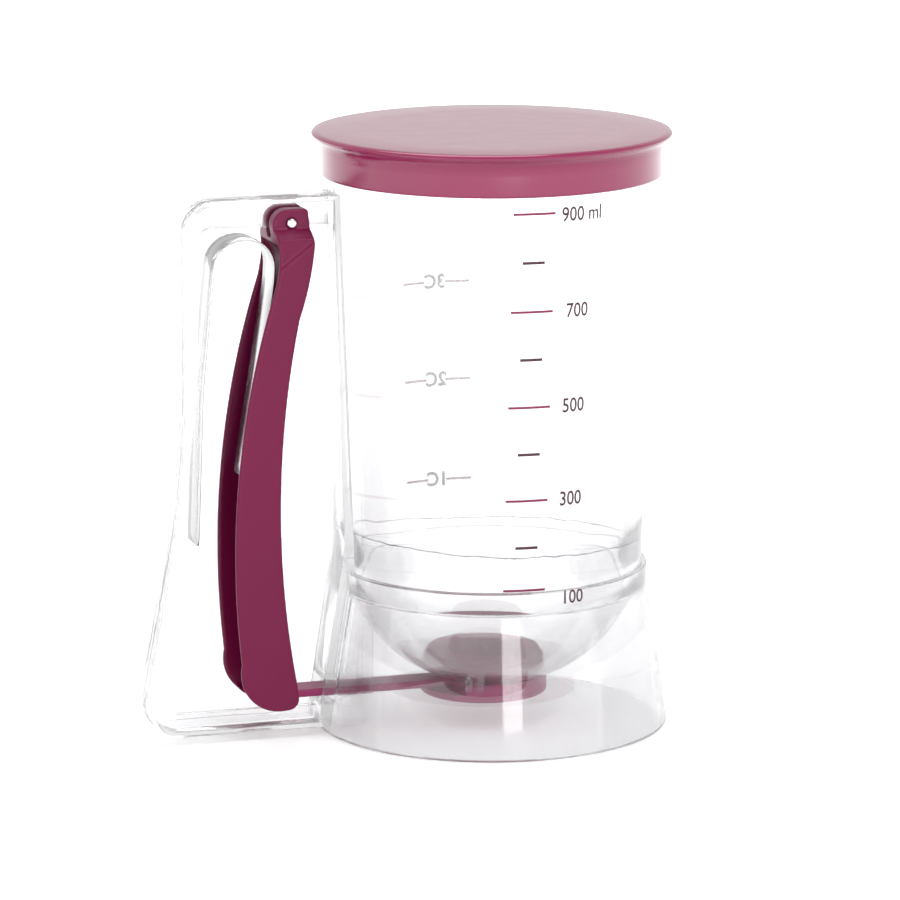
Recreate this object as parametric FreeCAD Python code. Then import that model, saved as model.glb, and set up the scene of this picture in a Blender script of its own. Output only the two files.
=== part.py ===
import FreeCAD, Part
import math
import os

# Pancake batter dispenser, in millimetres.
# The origin is the centre of the base ring on the table, +Z is up and the handle points along -X.

V = FreeCAD.Vector

# Overall heights
LID_TOP_Z = 184.0
TUBE_TOP_Z = 181.0
LEDGE_Z = 50.3
WALL = 2.2

# Vessel tube: outer radius at the ledge and at the rim
TUBE_FOOT_Z = 43.0
TUBE_R_LOW = 46.2
TUBE_R_HIGH = 50.7
BOND_TOP_Z = 57.0

# Bowl: outer ellipse, flat bottom plate and outlet hole
BOWL_R = 43.9
BOWL_DEPTH = 38.0
BOWL_WALL = 1.8
BOWL_CENTRE_Z = 50.0
BOWL_PLATE_BOTTOM_Z = 15.6
BOWL_PLATE_TOP_Z = 17.6
BOWL_HOLE_R = 15.2
BOWL_RECESS_GAP = 0.3
BOWL_RIM_THINNING = 0.4
OUTLET_X = -2.5

# Base skirt
SKIRT_TOP_R = 47.9
SKIRT_MID_R = 51.45
SKIRT_MID_Z = 21.5
BASE_R = 54.3
GUIDE_INNER_X = -39.6
GUIDE_BOTTOM_Z = 12.3
GUIDE_THICKNESS = 1.3
GUIDE_BOWL_GAP = 1.2

# Handle frame: T section of an outer strip and an inner web
STRIP_W = 14.0
STRIP_T = 1.7
WEB_T = 3.0
TOP_BAR_Z = 166.9
BOTTOM_BAR_Z = 2.7
GRIP_X = -98.2
GRIP_BEND_Z = 83.5
GRIP_LEAN = 0.198
WEB_TOP_Z = 157.5
WEB_BOTTOM_Z = 8.6
WEB_UPPER_X = -91.6
WEB_SET_BACK = ((-91.6, 135.0), (-93.3, 110.0), (-95.1, 61.5), (-102.0, 19.7))
WEB_LOW_X = -104.5
CORNER_R_TOP = 10.0
CORNER_R_LOW = 12.0
VESSEL_STRIP_TOP_X = -51.6
VESSEL_STRIP_BEND_X = -48.86
VESSEL_STRIP_BEND_Z = 59.5
VESSEL_STRIP_LOW_X = -57.6
HANDLE_ROOT_X = -46.0
VESSEL_STRIP_ROOT_X = -44.0

# Slot through the skirt for the gate arm
SLOT_HALF_W = 5.7
SLOT_BOTTOM_Z = 9.6
SLOT_TOP_Z = 17.4

# Trigger
PIVOT_X = -64.9
PIVOT_Z = 159.2
HEAD_HALF_W = 7.0
LEVER_HALF_W = 11.7
LEVER_WALL = 1.6
SHOULDER_TOP_Z = 157.6
SHOULDER_Z = 154.9
LEDGE_STEP = 0.45
LEDGE_END_Z = 141.0
FORK_HALF_GAP = 1.9
FORK_FLOOR_Z = 154.4
PIVOT_LUG_R = 4.2
CROSSBAR_X = -72.5
CROSSBAR_Z = 14.5
CROSSBAR_R = 1.5
ARM_NOTCH_HALF_W = 5.4
ARM_NOTCH_TOP_Z = 16.4
KEEL_HALF_W = 1.0

# Pivot pin
PIN_R = 1.5
PIN_HALF_LENGTH = 7.7
PIN_CLEARANCE = 0.05
PIN_END_R = 0.5

# Return spring strip
SPRING_T = 0.8
SPRING_W = 12.0
SPRING_PATH = ((-94.45, 61.9), (-92.55, 110.0), (-87.9, 154.6), (-69.45, 154.6), (-70.35, 140.0), (-79.95, 82.0))
SPRING_RADII = (200.0, 9.3, 8.6, 60.0)

# Gate slide
ARM_HALF_W = 4.7
ARM_BOTTOM_Z = 12.0
ARM_TOP_Z = 14.4
BLADE_R = 12.8
ARM_END_X = -76.0
EYE_INNER_X = -69.8
EYE_HALF_W = 4.4
EYE_TOP_Z = 20.6
EYE_SLOT_HALF_W = 1.7
EYE_SLOT_LOW_Z = 12.8
EYE_SLOT_HIGH_Z = 19.2

# Seat ring
SEAT_R = 18.7
SEAT_STEP_R = 17.5
SEAT_TOP_Z = 22.3
SEAT_STEP_Z = 20.2
SEAT_HOLE_R = 11.0
SEAT_THROAT_R = 10.0
SEAT_FOOT_Z = 14.5
SEAT_FOOT_GAP = 0.3
SEAT_CHAMFER_LOW_Z = 16.5
SEAT_CHAMFER_HIGH_Z = 18.0

# Valve collar
COLLAR_R = 19.6
COLLAR_INNER_R = 18.7
COLLAR_LIP_R = 17.4
COLLAR_BOTTOM_Z = 9.4
COLLAR_FLOOR_Z = 11.7
COLLAR_TOP_Z = 15.3
COLLAR_SLOT_FROM_DEG = 95.0
COLLAR_SLOT_TO_DEG = 238.0
TAB_DEG = (22.0, 296.0)
LUG_DEG = (240.5, 250.5)
TAB_HALF_DEG = 11.0
TAB_BOTTOM_Z = 12.7
TAB_FOOT_TOP_Z = 13.8
TAB_INNER_R = 15.4
TAB_GAP = 0.4
LIP_HALF_DEG = 12.5
LIP_BOTTOM_Z = 14.1
LUG_R = 1.0
LUG_BOTTOM_Z = 13.4
LUG_TOP_Z = 17.0
LUG_GAP = 1.3

# Lid
LID_SKIRT_R = 52.2
LID_WALL = 1.2
LID_RIM_R = 54.8
LID_BOTTOM_Z = 170.8
LID_RIM_T = 2.2
LID_CORNER = 0.9
LID_PLATE_T = 1.4
LID_TOP_GAP = 0.05

# Reach of the blocks and wedges used as cutters
FAR = 100.0


def points_wire(points):
    return Part.makePolygon([V(*p) for p in points] + [V(*points[0])])


def revolve(points):
    face = Part.Face(points_wire([(r, 0, z) for r, z in points]))
    return face.revolve(V(0, 0, 0), V(0, 0, 1), 360)


def cylinder(radius, low, high, x=0.0, y=0.0):
    return Part.makeCylinder(radius, high - low, V(x, y, low))


def block(x0, x1, y0, y1, z0, z1):
    return Part.makeBox(x1 - x0, y1 - y0, z1 - z0, V(x0, y0, z0))


def cross_rod(radius, x, z, half_length):
    return Part.makeCylinder(radius, 2 * half_length, V(x, -half_length, z), V(0, 1, 0))


def sector(radius, low, high, from_deg, to_deg):
    wedge = Part.makeCylinder(radius, high - low, V(0, 0, low), V(0, 0, 1), to_deg - from_deg)
    wedge.rotate(V(0, 0, 0), V(0, 0, 1), from_deg)
    return wedge


def arc(a, b, c):
    return Part.Arc(V(a[0], 0, a[1]), V(b[0], 0, b[1]), V(c[0], 0, c[1])).toShape()


def line(a, b):
    return Part.LineSegment(V(a[0], 0, a[1]), V(b[0], 0, b[1])).toShape()


def outline(*points):
    """Straight edges from point to point and back to the first."""
    return [line(a, b) for a, b in zip(points, points[1:] + points[:1])]


def slab(edges, half_width):
    """Closed outline in the XZ plane, made solid to both sides of it."""
    face = Part.Face(Part.Wire(edges))
    face.translate(V(0, -half_width, 0))
    return face.extrude(V(0, 2 * half_width, 0))


def rounded_path(corners, radii):
    """Edges along the corners, each inner corner turned by a tangent arc of its own radius."""
    edges = []
    here = V(corners[0][0], 0, corners[0][1])
    for i in range(1, len(corners) - 1):
        corner = V(corners[i][0], 0, corners[i][1])
        back = (V(corners[i - 1][0], 0, corners[i - 1][1]) - corner).normalize()
        ahead = (V(corners[i + 1][0], 0, corners[i + 1][1]) - corner).normalize()
        half = back.getAngle(ahead) / 2
        reach = radii[i - 1] / math.tan(half)
        start = corner + back * reach
        end = corner + ahead * reach
        bisector = (back + ahead).normalize()
        middle = corner + bisector * (radii[i - 1] / math.sin(half) - radii[i - 1])
        edges.append(Part.LineSegment(here, start).toShape())
        edges.append(Part.Arc(start, middle, end).toShape())
        here = end
    last = V(corners[-1][0], 0, corners[-1][1])
    edges.append(Part.LineSegment(here, last).toShape())
    return edges


def close_path(edges):
    first = edges[0].Vertexes[0].Point
    last = edges[-1].Vertexes[-1].Point
    return edges + [Part.LineSegment(last, first).toShape()]


def tube_radius(z):
    share = (z - LEDGE_Z) / (TUBE_TOP_Z - LEDGE_Z)
    return TUBE_R_LOW + (TUBE_R_HIGH - TUBE_R_LOW) * share


def tube_outer(low, high, inset=0.0):
    return Part.makeCone(tube_radius(low) - inset, tube_radius(high) - inset, high - low, V(0, 0, low))


def vessel_tube():
    shell = tube_outer(TUBE_FOOT_Z, TUBE_TOP_Z)
    hollow = tube_outer(TUBE_FOOT_Z - 1, TUBE_TOP_Z + 1, WALL)
    return shell.cut(hollow)


def ellipse_solid(radius, depth, floor_z):
    """Lower half of an ellipsoid under the bowl centre, cut flat at its floor, closed at the top."""
    steps = 12
    end_angle = math.asin(min(1.0, (BOWL_CENTRE_Z - floor_z) / depth))
    curve = []
    for i in range(steps + 1):
        t = end_angle * i / steps
        curve.append(V(radius * math.cos(t), 0, BOWL_CENTRE_Z - depth * math.sin(t)))
    spline = Part.BSplineCurve()
    spline.interpolate(curve)
    edges = [line((0.0, BOWL_CENTRE_Z), (radius, BOWL_CENTRE_Z)), spline.toShape()]
    edges.append(line((curve[-1].x, curve[-1].z), (0.0, floor_z)))
    edges.append(line((0.0, floor_z), (0.0, BOWL_CENTRE_Z)))
    return Part.Face(Part.Wire(edges)).revolve(V(0, 0, 0), V(0, 0, 1), 360)


def bowl():
    rim_low = tube_radius(BOWL_CENTRE_Z) - WALL
    rim_high = tube_radius(BOND_TOP_Z) - WALL
    body = Part.makeCone(rim_low, rim_high, BOND_TOP_Z - BOWL_CENTRE_Z, V(0, 0, BOWL_CENTRE_Z))
    body = body.fuse(ellipse_solid(BOWL_R, BOWL_DEPTH, BOWL_PLATE_BOTTOM_Z))
    inner_r = BOWL_R - BOWL_WALL
    body = body.cut(ellipse_solid(inner_r, BOWL_DEPTH - BOWL_WALL, BOWL_PLATE_TOP_Z))
    mouth_r = rim_high - BOWL_WALL + BOWL_RIM_THINNING
    body = body.cut(Part.makeCone(inner_r, mouth_r, BOND_TOP_Z - BOWL_CENTRE_Z + 0.01, V(0, 0, BOWL_CENTRE_Z)))
    body = body.cut(cylinder(BOWL_HOLE_R, BOWL_PLATE_BOTTOM_Z - 1, BOWL_PLATE_TOP_Z + 1, OUTLET_X))
    body = body.cut(cylinder(SEAT_R + BOWL_RECESS_GAP, BOWL_PLATE_TOP_Z, SEAT_STEP_Z, OUTLET_X))
    for angle in TAB_DEG:
        body = body.fuse(bayonet_tab(angle))
    for angle in LUG_DEG:
        body = body.fuse(index_lug(angle))
    return body.removeSplitter()


def bayonet_tab(angle):
    """Hook under the bowl plate that holds the valve collar up."""
    start, end = angle - TAB_HALF_DEG, angle + TAB_HALF_DEG
    stem = sector(COLLAR_LIP_R - TAB_GAP, TAB_BOTTOM_Z, BOWL_PLATE_BOTTOM_Z + 0.5, start, end)
    foot = sector(COLLAR_INNER_R - TAB_GAP, TAB_BOTTOM_Z, TAB_FOOT_TOP_Z, start, end)
    core = cylinder(TAB_INNER_R, TAB_BOTTOM_Z - 1, BOWL_PLATE_BOTTOM_Z + 1)
    tab = stem.fuse(foot).cut(core)
    tab.translate(V(OUTLET_X, 0, 0))
    return tab


def index_lug(angle):
    """Small clear rib that hangs beside the collar and marks its locked place."""
    rib = cylinder(LUG_R, LUG_BOTTOM_Z, LUG_TOP_Z, COLLAR_R + LUG_GAP)
    rib.rotate(V(0, 0, 0), V(0, 0, 1), angle)
    rib.translate(V(OUTLET_X, 0, 0))
    return rib.cut(ellipse_solid(BOWL_R - 0.8, BOWL_DEPTH - 0.8, BOWL_PLATE_TOP_Z - 1))


def skirt_solid(inset):
    top = SKIRT_TOP_R - inset
    edges = [
        line((0, 0), (BASE_R - inset, 0)),
        arc((BASE_R - inset, 0), (SKIRT_MID_R - inset, SKIRT_MID_Z), (top, TUBE_FOOT_Z)),
        line((top, TUBE_FOOT_Z), (top, LEDGE_Z)),
        line((top, LEDGE_Z), (0, LEDGE_Z)),
        line((0, LEDGE_Z), (0, 0)),
    ]
    return Part.Face(Part.Wire(edges)).revolve(V(0, 0, 0), V(0, 0, 1), 360)


def base_skirt():
    shell = skirt_solid(0.0).cut(skirt_solid(WALL))
    shell = shell.cut(tube_outer(TUBE_FOOT_Z, LEDGE_Z + 1))
    near_bowl = ellipse_solid(BOWL_R + GUIDE_BOWL_GAP, BOWL_DEPTH + GUIDE_BOWL_GAP, BOWL_PLATE_BOTTOM_Z)
    inside = skirt_solid(WALL / 2).cut(near_bowl)
    for side in (-1, 1):
        outer_y = side * STRIP_W / 2
        inner_y = side * (STRIP_W / 2 - GUIDE_THICKNESS)
        y0, y1 = min(outer_y, inner_y), max(outer_y, inner_y)
        plate = block(-FAR, GUIDE_INNER_X, y0, y1, GUIDE_BOTTOM_Z, TUBE_FOOT_Z - 0.4).common(inside)
        shell = shell.fuse(plate)
    return shell.cut(arm_slot()).removeSplitter()


def arm_slot():
    """Window that the gate arm passes through, in the skirt and in the strip glued to it."""
    return block(-FAR, VESSEL_STRIP_ROOT_X, -SLOT_HALF_W, SLOT_HALF_W, SLOT_BOTTOM_Z, SLOT_TOP_Z)


def loop_outline(depth, inner_x):
    """Rounded outline of the handle loop, set in from its outer faces by the given depth."""
    top = TOP_BAR_Z - depth
    bottom = BOTTOM_BAR_Z + depth
    low_x = GRIP_X - GRIP_LEAN * (GRIP_BEND_Z - bottom) + depth
    grip_x = GRIP_X + depth
    corners = [(inner_x, top), (grip_x, top), (grip_x, GRIP_BEND_Z), (low_x, bottom), (inner_x, bottom)]
    radii = [CORNER_R_TOP - depth, 300.0 - depth, CORNER_R_LOW - depth]
    return close_path(rounded_path(corners, radii))


def web_opening(inner_x):
    """Inner edge of the web, set back behind the leg of the spring."""
    corners = [(inner_x, WEB_TOP_Z), (WEB_UPPER_X, WEB_TOP_Z)]
    corners += WEB_SET_BACK
    corners += [(WEB_LOW_X, WEB_BOTTOM_Z), (inner_x, WEB_BOTTOM_Z)]
    return close_path(rounded_path(corners, [3.0, 60.0, 120.0, 120.0, 60.0, 4.0]))


def vessel_strip():
    """Strip down the vessel and the skirt that the loop ends in."""
    edges = outline(
        (VESSEL_STRIP_TOP_X, TOP_BAR_Z), (VESSEL_STRIP_BEND_X, VESSEL_STRIP_BEND_Z),
        (VESSEL_STRIP_LOW_X, BOTTOM_BAR_Z), (VESSEL_STRIP_ROOT_X, BOTTOM_BAR_Z), (VESSEL_STRIP_ROOT_X, TOP_BAR_Z),
    )
    return slab(edges, STRIP_W / 2)


def handle_frame():
    outer = loop_outline(0.0, HANDLE_ROOT_X)
    under_strip = loop_outline(STRIP_T, HANDLE_ROOT_X + 2)
    under_web = web_opening(HANDLE_ROOT_X + 2)
    strip = slab(outer, STRIP_W / 2).cut(slab(under_strip, STRIP_W))
    web = slab(outer, WEB_T / 2).cut(slab(under_web, STRIP_W))
    lug = cross_rod(PIVOT_LUG_R, PIVOT_X, PIVOT_Z, WEB_T / 2)
    frame = strip.fuse(web).fuse(lug).fuse(vessel_strip())
    frame = frame.cut(tube_outer(LEDGE_Z, TUBE_TOP_Z)).cut(skirt_solid(0.0))
    slot = arm_slot().common(block(VESSEL_STRIP_LOW_X - 1, 0, -FAR, FAR, 0, FAR))
    frame = frame.cut(slot)
    frame = frame.cut(cross_rod(PIN_R, PIVOT_X, PIVOT_Z, STRIP_W))
    return biggest_solid(frame.removeSplitter())


def biggest_solid(shape):
    return max(shape.Solids, key=lambda s: s.Volume)


def trigger_outline():
    """Side view of the whole lever, from the head's back corner round the finger side to the foot."""
    return [
        arc((-70.5, 157.0), (-69.3, 162.0), (-65.6, 163.4)),
        line((-65.6, 163.4), (-60.6, 163.4)),
        arc((-60.6, 163.4), (-59.9, 163.0), (-59.6, 162.2)),
        line((-59.6, 162.2), (-58.7, 153.6)),
        arc((-58.7, 153.6), (-60.4, 142.2), (-63.7, 130.5)),
        arc((-63.7, 130.5), (-69.9, 74.0), (-65.2, 18.0)),
        line((-65.2, 18.0), (-64.6, 13.2)),
        arc((-64.6, 13.2), (-65.6, 11.0), (-68.2, 10.0)),
        arc((-68.2, 10.0), (-78.0, 12.4), (-82.4, 25.0)),
        arc((-82.4, 25.0), (-82.9, 83.0), (-70.8, 141.0)),
        arc((-70.8, 141.0), (-69.8, 148.0), (-70.5, 157.0)),
    ]


def trigger_channel():
    """Hollow of the channel, open toward the grip."""
    return [
        line((-95.0, 153.9), (-72.0, 153.9)),
        arc((-72.0, 153.9), (-68.4, 151.6), (-67.4, 146.0)),
        arc((-67.4, 146.0), (-67.0, 138.0), (-66.2, 130.0)),
        arc((-66.2, 130.0), (-71.9, 74.0), (-67.2, 18.0)),
        line((-67.2, 18.0), (-66.8, 13.6)),
        line((-66.8, 13.6), (-71.0, 11.4)),
        line((-71.0, 11.4), (-77.0, 13.6)),
        line((-77.0, 13.6), (-95.0, 13.6)),
        line((-95.0, 13.6), (-95.0, 153.9)),
    ]


def keel_outline():
    """Rib in the middle of the channel that the spring leg bears on."""
    return outline((-69.9, 138.5), (-78.9, 84.0), (-70.0, 80.0), (-66.0, 138.5))


def rectangle(z, half_width):
    """Level rectangle wider than the lever is deep, used to shape its shoulders."""
    return points_wire([(-FAR, -half_width, z), (0, -half_width, z), (0, half_width, z), (-FAR, half_width, z)])


def trigger():
    head = slab(trigger_outline(), HEAD_HALF_W)
    wide = slab(trigger_outline(), LEVER_HALF_W)
    above_ledge = outline((-50.0, 160.7), (-90.0, 130.4), (-90.0, 180.0), (-50.0, 180.0))
    lever = wide.cut(slab(above_ledge, 2 * LEVER_HALF_W))
    shoulder = Part.makeLoft([
        rectangle(SHOULDER_TOP_Z, HEAD_HALF_W), rectangle(SHOULDER_Z, LEVER_HALF_W - LEDGE_STEP),
        rectangle(LEDGE_END_Z, LEVER_HALF_W - LEDGE_STEP),
    ], True, True).common(wide)
    body = head.fuse(lever).fuse(shoulder).removeSplitter()
    channel = slab(trigger_channel(), LEVER_HALF_W - LEVER_WALL)
    body = body.cut(channel)
    body = body.cut(block(-FAR, 0, -FORK_HALF_GAP, FORK_HALF_GAP, FORK_FLOOR_Z, 2 * FAR))
    body = body.cut(cross_rod(PIN_R + PIN_CLEARANCE, PIVOT_X, PIVOT_Z, FAR))
    body = body.cut(block(-FAR, 0, -ARM_NOTCH_HALF_W, ARM_NOTCH_HALF_W, 0, ARM_NOTCH_TOP_Z))
    keel = slab(keel_outline(), KEEL_HALF_W)
    bar = cross_rod(CROSSBAR_R, CROSSBAR_X, CROSSBAR_Z, LEVER_HALF_W - LEVER_WALL / 2)
    return biggest_solid(body.fuse(keel).fuse(bar).removeSplitter())


def pivot_pin():
    pin = cross_rod(PIN_R, PIVOT_X, PIVOT_Z, PIN_HALF_LENGTH)
    ends = [e for e in pin.Edges if e.BoundBox.YLength < 0.01]
    return pin.makeFillet(PIN_END_R, ends)


def return_spring():
    path = Part.Wire(rounded_path(SPRING_PATH, SPRING_RADII))
    strip = Part.Face(path.makeOffset2D(SPRING_T / 2, 0, True, False))
    strip.translate(V(0, -SPRING_W / 2, 0))
    return strip.extrude(V(0, SPRING_W, 0))


def gate_slide():
    blade = cylinder(BLADE_R, ARM_BOTTOM_Z, ARM_TOP_Z, OUTLET_X)
    arm = block(ARM_END_X, 0, -ARM_HALF_W, ARM_HALF_W, ARM_BOTTOM_Z, ARM_TOP_Z)
    eye = block(ARM_END_X, EYE_INNER_X, -EYE_HALF_W, EYE_HALF_W, ARM_BOTTOM_Z, EYE_TOP_Z)
    slot = block(CROSSBAR_X - EYE_SLOT_HALF_W, CROSSBAR_X + EYE_SLOT_HALF_W, -FAR, FAR,
                 EYE_SLOT_LOW_Z, EYE_SLOT_HIGH_Z)
    return arm.fuse(blade).fuse(eye).cut(slot).removeSplitter()


def seat_ring():
    foot_r = BOWL_HOLE_R - SEAT_FOOT_GAP
    ring = revolve([
        (SEAT_THROAT_R, SEAT_FOOT_Z), (foot_r, SEAT_FOOT_Z), (foot_r, BOWL_PLATE_TOP_Z),
        (SEAT_R, BOWL_PLATE_TOP_Z + 0.02), (SEAT_R, SEAT_STEP_Z), (SEAT_STEP_R, SEAT_STEP_Z + 0.3),
        (SEAT_STEP_R, SEAT_TOP_Z), (SEAT_HOLE_R, SEAT_TOP_Z), (SEAT_HOLE_R, SEAT_CHAMFER_HIGH_Z),
        (SEAT_THROAT_R, SEAT_CHAMFER_LOW_Z),
    ])
    ring.translate(V(OUTLET_X, 0, 0))
    return ring


def valve_collar():
    ring = revolve([
        (SEAT_HOLE_R, COLLAR_BOTTOM_Z), (COLLAR_R - 0.5, COLLAR_BOTTOM_Z), (COLLAR_R, COLLAR_BOTTOM_Z + 0.5),
        (COLLAR_R, COLLAR_TOP_Z), (COLLAR_INNER_R, COLLAR_TOP_Z), (COLLAR_INNER_R, COLLAR_FLOOR_Z),
        (SEAT_HOLE_R, COLLAR_FLOOR_Z),
    ])
    for angle in TAB_DEG:
        lip = sector(COLLAR_INNER_R + 0.2, LIP_BOTTOM_Z, COLLAR_TOP_Z, angle - LIP_HALF_DEG, angle + LIP_HALF_DEG)
        ring = ring.fuse(lip.cut(cylinder(COLLAR_LIP_R, LIP_BOTTOM_Z - 1, COLLAR_TOP_Z + 1)))
    slot = sector(COLLAR_R + 2, COLLAR_FLOOR_Z, COLLAR_TOP_Z + 1, COLLAR_SLOT_FROM_DEG, COLLAR_SLOT_TO_DEG)
    ring = ring.cut(slot).removeSplitter()
    ring.translate(V(OUTLET_X, 0, 0))
    return ring


def lid():
    skirt_inner = LID_SKIRT_R - LID_WALL
    rim_low = LID_TOP_Z - LID_RIM_T
    roof = TUBE_TOP_Z + LID_TOP_GAP
    rim_corner = (LID_RIM_R - 0.4, rim_low + 0.3)
    edges = [
        line((0, LID_TOP_Z), (LID_RIM_R - LID_CORNER, LID_TOP_Z)),
        arc((LID_RIM_R - LID_CORNER, LID_TOP_Z), (LID_RIM_R, LID_TOP_Z - LID_CORNER), rim_corner),
        arc(rim_corner, (LID_SKIRT_R + 0.75, rim_low - 0.6), (LID_SKIRT_R, rim_low - 3.2)),
        line((LID_SKIRT_R, rim_low - 3.2), (LID_SKIRT_R, LID_BOTTOM_Z)),
        line((LID_SKIRT_R, LID_BOTTOM_Z), (skirt_inner, LID_BOTTOM_Z)),
        line((skirt_inner, LID_BOTTOM_Z), (skirt_inner, roof)),
        line((skirt_inner, roof), (0, roof)),
        line((0, roof), (0, LID_TOP_Z)),
    ]
    cap = Part.Face(Part.Wire(edges)).revolve(V(0, 0, 0), V(0, 0, 1), 360)
    hollow = cylinder(tube_radius(TUBE_TOP_Z) - WALL - 0.4, TUBE_TOP_Z - 1, LID_TOP_Z - LID_PLATE_T)
    return cap.cut(hollow)


PIECES = {
    "vessel_tube": vessel_tube,
    "bowl": bowl,
    "base_skirt": base_skirt,
    "handle_frame": handle_frame,
    "lid": lid,
    "trigger": trigger,
    "pivot_pin": pivot_pin,
    "return_spring": return_spring,
    "gate_slide": gate_slide,
    "seat_ring": seat_ring,
    "valve_collar": valve_collar,
}

os.makedirs("parts", exist_ok=True)
for name, make in PIECES.items():
    piece = make()
    box = piece.BoundBox
    print(name, len(piece.Solids), piece.isValid(), round(piece.Volume),
          [round(v, 1) for v in (box.XMin, box.XMax, box.YMin, box.YMax, box.ZMin, box.ZMax)])
    piece.exportStep("parts/" + name + ".step")
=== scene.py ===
import math
import bmesh
import bpy
from mathutils import Matrix, Vector, noise


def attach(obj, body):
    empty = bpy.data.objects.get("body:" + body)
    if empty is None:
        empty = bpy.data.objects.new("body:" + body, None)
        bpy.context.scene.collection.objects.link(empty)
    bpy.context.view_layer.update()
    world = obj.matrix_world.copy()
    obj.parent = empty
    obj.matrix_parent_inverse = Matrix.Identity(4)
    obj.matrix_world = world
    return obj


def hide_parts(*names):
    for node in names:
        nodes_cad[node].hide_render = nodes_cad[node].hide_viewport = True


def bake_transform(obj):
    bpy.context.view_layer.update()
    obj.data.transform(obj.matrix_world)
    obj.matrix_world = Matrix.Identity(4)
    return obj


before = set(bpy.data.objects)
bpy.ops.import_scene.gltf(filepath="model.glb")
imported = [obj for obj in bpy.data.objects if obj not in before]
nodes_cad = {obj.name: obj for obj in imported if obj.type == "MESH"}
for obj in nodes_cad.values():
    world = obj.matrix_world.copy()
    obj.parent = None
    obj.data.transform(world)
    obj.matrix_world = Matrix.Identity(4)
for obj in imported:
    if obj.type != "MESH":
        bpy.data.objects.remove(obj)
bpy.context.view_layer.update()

MM = 0.001

# Sizes shared with the solids, in millimetres
LEDGE_Z = 50.3
RIM_Z = 181.0
TUBE_R_LOW = 46.2
TUBE_R_HIGH = 50.7
WALL = 2.2
BASE_R = 54.3
SKIRT_MID_R = 51.45
SKIRT_TOP_R = 47.9
FOOT_Z = 43.0
BOND_Z = 57.0
BLEND_TOP_Z = 66.0
BOWL_R, BOWL_DEPTH, BOWL_WALL, BOWL_Z = 43.9, 38.0, 1.8, 50.0
PLATE_LOW_Z, PLATE_HIGH_Z = 15.6, 17.6
OUTLET_X, OUTLET_R = -2.5, 15.2
STRIP_HALF_W, STRIP_T, WEB_HALF_T = 7.0, 1.7, 1.5
TOP_BAR_Z, BOTTOM_BAR_Z = 166.9, 2.7
GRIP_X, GRIP_BEND_Z, GRIP_LEAN = -98.2, 83.5, 0.198
LOOP_TOP_END_X, LOOP_LOW_END_X = -49.0, -52.4
STRIP_BEND_X, STRIP_BEND_Z = -48.86, 59.5
PIVOT_X, PIVOT_Z, PIVOT_LUG_R, PIN_R = -64.9, 159.2, 4.2, 1.5
SLOT_HALF_W, SLOT_LOW_Z, SLOT_HIGH_Z = 5.7, 9.6, 17.4
TAB_DEG, TAB_HALF_DEG = (22.0, 296.0), 11
LUG_DEG, LUG_RING_R, LUG_R = (240.5, 250.5), 20.9, 1.0
SPRING_HALF_T, SPRING_HALF_W = 0.4, 6.0
PRINT_LIFT = 0.03


def tube_r(z):
    return TUBE_R_LOW + (TUBE_R_HIGH - TUBE_R_LOW) * (z - LEDGE_Z) / (RIM_Z - LEDGE_Z)


# Materials

def new_material(name):
    mat = bpy.data.materials.new(name)
    mat.use_nodes = True
    tree = mat.node_tree
    shader = tree.nodes["Principled BSDF"]
    return mat, tree, shader


def add_node(tree, kind, **values):
    node = tree.nodes.new(kind)
    for key, value in values.items():
        if key in node.inputs:
            node.inputs[key].default_value = value
        else:
            setattr(node, key, value)
    return node


def noise_node(tree, scale, detail=3.0, rough=0.5, stretch=None):
    coords = add_node(tree, "ShaderNodeTexCoord")
    tex = add_node(tree, "ShaderNodeTexNoise", Scale=scale, Detail=detail, Roughness=rough)
    source = coords.outputs["Object"]
    if stretch:
        mapping = add_node(tree, "ShaderNodeMapping")
        mapping.inputs["Scale"].default_value = stretch
        tree.links.new(source, mapping.inputs["Vector"])
        source = mapping.outputs["Vector"]
    tree.links.new(source, tex.inputs["Vector"])
    return tex


def map_range(tree, source, low, high, out_low, out_high):
    node = add_node(tree, "ShaderNodeMapRange")
    node.inputs["From Min"].default_value = low
    node.inputs["From Max"].default_value = high
    node.inputs["To Min"].default_value = out_low
    node.inputs["To Max"].default_value = out_high
    tree.links.new(source, node.inputs["Value"])
    return node.outputs["Result"]


def bump(tree, shader, height, strength, distance):
    node = add_node(tree, "ShaderNodeBump", Strength=strength, Distance=distance)
    tree.links.new(height, node.inputs["Height"])
    tree.links.new(node.outputs["Normal"], shader.inputs["Normal"])
    return node


def clear_plastic(name, wave=0.25, rough=0.02, thin=0.15):
    """Clear moulded plastic: slight flow waves in the wall and faint scuffs."""
    mat, tree, shader = new_material(name)
    shader.inputs["Base Color"].default_value = (0.985, 0.985, 0.99, 1)
    shader.inputs["Transmission Weight"].default_value = 1.0
    shader.inputs["IOR"].default_value = 1.5
    waves = noise_node(tree, 18.0, 1.0, 0.4, (1.0, 1.0, 0.35))
    bump(tree, shader, waves.outputs["Fac"], wave, 0.0006)
    scuffs = noise_node(tree, 420.0, 4.0, 0.6)
    value = map_range(tree, scuffs.outputs["Fac"], 0.45, 0.75, rough, rough + 0.05)
    tree.links.new(value, shader.inputs["Roughness"])
    straight = add_node(tree, "ShaderNodeBsdfTransparent")
    straight.inputs["Color"].default_value = (0.97, 0.97, 0.975, 1)
    mixer = add_node(tree, "ShaderNodeMixShader")
    mixer.inputs["Fac"].default_value = thin
    tree.links.new(shader.outputs[0], mixer.inputs[1])
    tree.links.new(straight.outputs[0], mixer.inputs[2])
    tree.links.new(mixer.outputs[0], tree.nodes["Material Output"].inputs["Surface"])
    return mat


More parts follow.
